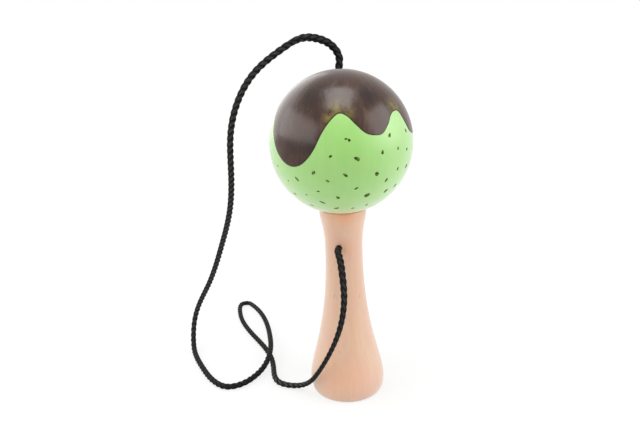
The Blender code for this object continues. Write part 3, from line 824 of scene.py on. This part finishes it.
def braided_tube(path):
    """A closed braided tube along a path: points, faces, strand heights, fibre places and painted light.
    """
    ahead = np.gradient(path, axis=0)
    ahead /= np.linalg.norm(ahead, axis=1)[:, None]
    across = np.zeros_like(path)
    start = np.cross(ahead[0], BRAID_START_SIDE)
    across[0] = start / np.linalg.norm(start)
    for i in range(1, len(path)):
        carried = across[i - 1] - (across[i - 1] @ ahead[i]) * ahead[i]
        across[i] = carried / np.linalg.norm(carried)
    third = np.cross(ahead, across)
    along = (np.arange(len(path)) * BRAID_STEP)[:, None]
    turn = np.linspace(0.0, math.tau, BRAID_AROUND, endpoint=False)[None, :] + np.zeros_like(along)
    twist = np.radians(np.interp(along, *zip(*BRAID_TURNS)))
    thin = BRAID_THIN * np.cos(turn)
    wide = BRAID_WIDE * np.sin(turn)
    flat = BRAID_WIDE * BRAID_THIN / np.sqrt(thin ** 2 + wide ** 2)
    column = (turn / math.tau * BRAID_COLUMNS + 0.5) % BRAID_COLUMNS
    number = np.floor(column + 1e-9)
    beside = 2.0 * (column - number) - 1.0
    lean = np.where(number % 2 == 0, 1.0, -1.0)
    stitch = along / BRAID_PITCH + 0.5 * (number % 2) - lean * BRAID_SLANT * beside
    over = stitch - np.round(stitch)
    height = np.cos(math.pi * over) ** STRAND_CROWN * np.cos(STRAND_SPAN * math.pi * beside) ** STRAND_EDGE
    drawn = np.interp(along, *zip(*BRAID_DRAWN))
    radius = drawn * (flat - BRAID_RELIEF * (1.0 - height))
    angle = turn + twist
    points = path[:, None, :] + radius[..., None] * (
        np.cos(angle)[..., None] * across[:, None, :] + np.sin(angle)[..., None] * third[:, None, :])
    strand = number + STITCH_OFFSET * np.round(stitch)
    fibre = np.stack([over * BRAID_PITCH, beside * STRAND_HALF_WIDTH, strand], axis=-1)
    rings = np.arange(radius.size).reshape(radius.shape)
    faces = []
    for ring, other in zip(rings, rings[1:]):
        faces += band(ring, other)
    total = radius.size
    last = total - BRAID_AROUND
    sides = [(i, (i + 1) % BRAID_AROUND) for i in range(BRAID_AROUND)]
    faces += [(j, i, total) for i, j in sides]
    faces += [(last + i, last + j, total + 1) for i, j in sides]
    points = np.concatenate([points.reshape(-1, 3), path[:1], path[-1:]])
    points[:, 2] = np.maximum(points[:, 2], 0.0)
    height = np.concatenate([height.ravel(), [0.5, 0.5]])
    fibre = np.concatenate([fibre.reshape(-1, 3), np.zeros((2, 3))])
    painted_strand_light = np.interp(along, *zip(*BRAID_PAINTED_LIGHT))
    painted_strand_light = np.concatenate([np.repeat(painted_strand_light, BRAID_AROUND), [0.0, 0.0]])
    return points, faces, height, fibre, painted_strand_light


def braided_piece(name, *paths):
    """One object of braid along one or more paths."""
    tubes = [braided_tube(path) for path in paths]
    faces = []
    start = 0
    for tube in tubes:
        faces += [tuple(start + i for i in face) for face in tube[1]]
        start += len(tube[0])
    item = new_object(name, np.concatenate([tube[0] for tube in tubes]), faces)
    add_values(item, "strand_height", np.concatenate([tube[2] for tube in tubes]))
    add_places(item, "fibre_place", np.concatenate([tube[3] for tube in tubes]))
    add_values(item, "painted_strand_light", np.concatenate([tube[4] for tube in tubes]))
    return item


def braid_material():
    """Black polyester braid: fine fibres along each strand, painted shade in the grooves, and painted grey
    highlights on the crests.
    """
    BLACK = srgb(27, 25, 24)
    LIT_GREY = srgb(80, 77, 75)
    GROOVE_SHADE = srgb(14, 13, 13)
    FIBRE_SCALE = (9000.0, 900.0, 3.7)
    material, tree, shader, place = new_material("black_braid")
    height = read_value(tree, "strand_height")
    painted_strand_light = read_value(tree, "painted_strand_light")
    fibre = read_place(tree, "fibre_place")
    stretched = add_node(tree, "ShaderNodeVectorMath", {0: fibre, 1: FIBRE_SCALE}, operation="MULTIPLY")
    lines = spread(tree, noise(tree, stretched.outputs[0], 1.0, 3.0, 0.6), 0.3, 0.7)
    tone = spread(tree, noise(tree, place, 300.0, 2.0), 0.35, 0.65)
    patchy = calc(tree, "MULTIPLY_ADD", lines, calc(tree, "MULTIPLY_ADD", tone, 0.2, 0.15), 0.18)
    # Painted highlights: grey on the strands' crests, through the fibre lines, as strong as the painted
    # light along the cord
    painted_light_mask = calc(tree, "MULTIPLY", calc(tree, "MULTIPLY", painted_strand_light, patchy), spread(tree, height, 0.1, 0.9))
    colour = tint(tree, painted_light_mask, BLACK, LIT_GREY)
    # Painted shade in the grooves between the strands
    colour = tint(tree, spread(tree, height, 0.85, 0.15), colour, GROOVE_SHADE)
    tree.links.new(colour, shader.inputs["Base Color"])
    tree.links.new(calc(tree, "MULTIPLY_ADD", lines, -0.15, 0.72), shader.inputs["Roughness"])
    bump(tree, shader, lines, 0.00005, 0.5)
    shader.inputs["Specular IOR Level"].default_value = 0.08
    return material


black_braid = braid_material()
cord_path = free_cord_path()
cord = braided_piece("braided_cord", cord_path)
cord.data.materials.append(black_braid)
# The photo shows no mirror image of the cord in the glaze
cord.visible_glossy = False
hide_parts("cord")
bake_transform(cord)

# Cord ends: the same braid, out of sight. In the ball it runs down the bore to a stopper knot of nearly
# three wraps with a short tail in the pocket, and in the neck it ends in such a knot behind its hole.
WRAP_RADIUS = 0.0019
WRAP_TURNS = 2.6
WRAP_LENGTH = 0.0036
WRAP_POINTS = 140
WRAP_END_SHARE = 0.08
WRAP_END_RADIUS = 0.15
BALL_KNOT_DROP = 0.0036
BALL_KNOT_TAIL = 0.0083
NECK_KNOT_TAIL = 0.0022


def wraps(middle, direction):
    """The path of the wraps round the cord at a knot, with both ends turned in."""
    direction = Vector(direction)
    beside = direction.orthogonal().normalized()
    third = direction.cross(beside)
    share = np.linspace(0.0, 1.0, WRAP_POINTS)
    turn = math.tau * WRAP_TURNS * share
    from_end = np.minimum(share, 1.0 - share)
    out = WRAP_RADIUS * np.clip(from_end / WRAP_END_SHARE, WRAP_END_RADIUS, 1.0)
    rise = WRAP_LENGTH * (share - 0.5)
    around = np.cos(turn)[:, None] * np.array(beside) + np.sin(turn)[:, None] * np.array(third)
    line = np.array(middle) + rise[:, None] * np.array(direction) + out[:, None] * around
    return evenly(line, BRAID_STEP)


def knotted_end(name, start, knot, tail, body, node):
    """The cord from just inside its hole to the knot and its tail."""
    direction = (Vector(knot) - Vector(start)).normalized()
    lead = evenly([start, Vector(knot) + direction * tail], BRAID_STEP)
    end = braided_piece(name, lead, wraps(knot, direction))
    end.data.materials.append(black_braid)
    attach(end, body)
    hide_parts(node)
    return end


ball_top = BALL_CENTRE + BALL_RADIUS - CORD_INSIDE
ball_knot = BALL_CENTRE - BALL_RADIUS + BALL_POCKET_DEPTH - BALL_KNOT_DROP
in_ball = knotted_end("cord_end_in_ball", (0.0, 0.0, ball_top), (0.0, 0.0, ball_knot), BALL_KNOT_TAIL,
                      "cord_end", "ball_end_knot")
hole_middle = Vector((0.0, 0.0, CORD_HOLE_HEIGHT))
hole_inside = hole_middle + HOLE_DIRECTION * (NECK_HOLE_RADIUS - CORD_INSIDE)
in_neck = knotted_end("cord_end_in_neck", hole_inside, hole_middle, NECK_KNOT_TAIL,
                      "handle", "handle_end_knot")

# Stage: a plain white table, soft light boxes above, on both sides and behind, and the camera in front of
# the toy, a little above the ball and tipped down.
FLOOR_SIZE = 6.0
FLOOR_DROP = 0.0001
FLOOR_WHITE = (0.80, 0.80, 0.80, 1.0)
FLOOR_GLOW = 1.0
SHADOW_SHARE = 0.22
SHADOW_REACH = (0.12, 0.26)
WORLD_LIGHT = 0.56
CAMERA_PLACE = (-0.0099, -0.2441, 0.1491)
CAMERA_TIP = math.radians(15.03)
CAMERA_ROLL = math.radians(-2.23)
CAMERA_LENS = 32.79
CAMERA_SENSOR = 36.0
CAMERA_NEAR = 0.01
LIGHT_DISTANCE = 0.62
# Azimuth and height in degrees, width and depth in metres, and brightness where 1 is white
LIGHT_BOXES = [
    ("top_box", -6.0, 79.0, 0.37, 0.42, 4.9),
    ("left_box", -80.0, 22.0, 0.92, 0.34, 2.5),
    ("right_box", 73.0, 21.0, 0.52, 0.54, 3.0),
    ("back_box", -145.0, 20.0, 0.60, 0.50, 1.2),
]


def seen_ray(tree):
    """1 for a ray that shows the stage: from the camera, off a gloss or through something clear."""
    path = add_node(tree, "ShaderNodeLightPath").outputs
    shown = calc(tree, "MAXIMUM", path["Is Camera Ray"], path["Is Glossy Ray"])
    return calc(tree, "MAXIMUM", shown, path["Is Transmission Ray"])


def white_table():
    table = new_object("table", [(-1, -1, 0), (1, -1, 0), (1, 1, 0), (-1, 1, 0)], [(0, 1, 2, 3)])
    table.scale = (FLOOR_SIZE, FLOOR_SIZE, 1.0)
    table.location.z = -FLOOR_DROP
    material = bpy.data.materials.new("table_white")
    material.use_nodes = True
    tree = material.node_tree
    shader = tree.nodes["Principled BSDF"]
    shader.inputs["Base Color"].default_value = FLOOR_WHITE
    shader.inputs["Roughness"].default_value = 0.9
    shader.inputs["Specular IOR Level"].default_value = 0.0
    glow = add_node(tree, "ShaderNodeEmission", {"Strength": FLOOR_GLOW})
    spot = add_node(tree, "ShaderNodeNewGeometry").outputs["Position"]
    away = add_node(tree, "ShaderNodeVectorMath", {0: spot}, operation="LENGTH").outputs["Value"]
    clean = spread(tree, away, *SHADOW_REACH, to_low=1.0 - SHADOW_SHARE, to_high=1.0)
    share = calc(tree, "MULTIPLY", seen_ray(tree), clean)
    mixed = add_node(tree, "ShaderNodeMixShader", {0: share, 1: shader.outputs[0], 2: glow.outputs[0]})
    tree.links.new(mixed.outputs[0], tree.nodes["Material Output"].inputs["Surface"])
    table.data.materials.append(material)


def white_room():
    world = bpy.data.worlds.new("white_room")
    world.use_nodes = True
    tree = world.node_tree
    strength = calc(tree, "MULTIPLY_ADD", seen_ray(tree), 1.0 - WORLD_LIGHT, WORLD_LIGHT)
    backdrop = tree.nodes["Background"]
    backdrop.inputs["Color"].default_value = (1.0, 1.0, 1.0, 1.0)
    tree.links.new(strength, backdrop.inputs["Strength"])
    bpy.context.scene.world = world


def light_box(name, azimuth, height, width, depth, brightness):
    """A soft box that faces the ball, of an even brightness where 1 is white."""
    light = bpy.data.lights.new(name, "AREA")
    light.shape = "RECTANGLE"
    light.size = width
    light.size_y = depth
    light.energy = brightness * math.pi * width * depth
    box = bpy.data.objects.new(name, light)
    middle = Vector((0.0, 0.0, BALL_CENTRE))
    box.location = around_ball(azimuth, height, LIGHT_DISTANCE)
    box.rotation_euler = (middle - box.location).to_track_quat("-Z", "Y").to_euler()
    box.visible_camera = False
    bpy.context.scene.collection.objects.link(box)


def photo_camera():
    lens = bpy.data.cameras.new("camera")
    lens.lens = CAMERA_LENS
    lens.sensor_width = CAMERA_SENSOR
    lens.clip_start = CAMERA_NEAR
    camera = bpy.data.objects.new("camera", lens)
    ahead = Vector((0.0, math.cos(CAMERA_TIP), -math.sin(CAMERA_TIP)))
    level_up = Vector((0.0, math.sin(CAMERA_TIP), math.cos(CAMERA_TIP)))
    right = Vector((1.0, 0.0, 0.0)) * math.cos(CAMERA_ROLL) + level_up * math.sin(CAMERA_ROLL)
    up = right.cross(ahead)
    turn = Matrix((right, up, -ahead)).transposed().to_4x4()
    camera.matrix_world = Matrix.Translation(CAMERA_PLACE) @ turn
    bpy.context.scene.collection.objects.link(camera)
    bpy.context.scene.camera = camera


white_table()
white_room()
for light in LIGHT_BOXES:
    light_box(*light)
photo_camera()
bpy.context.scene.view_settings.view_transform = "Standard"
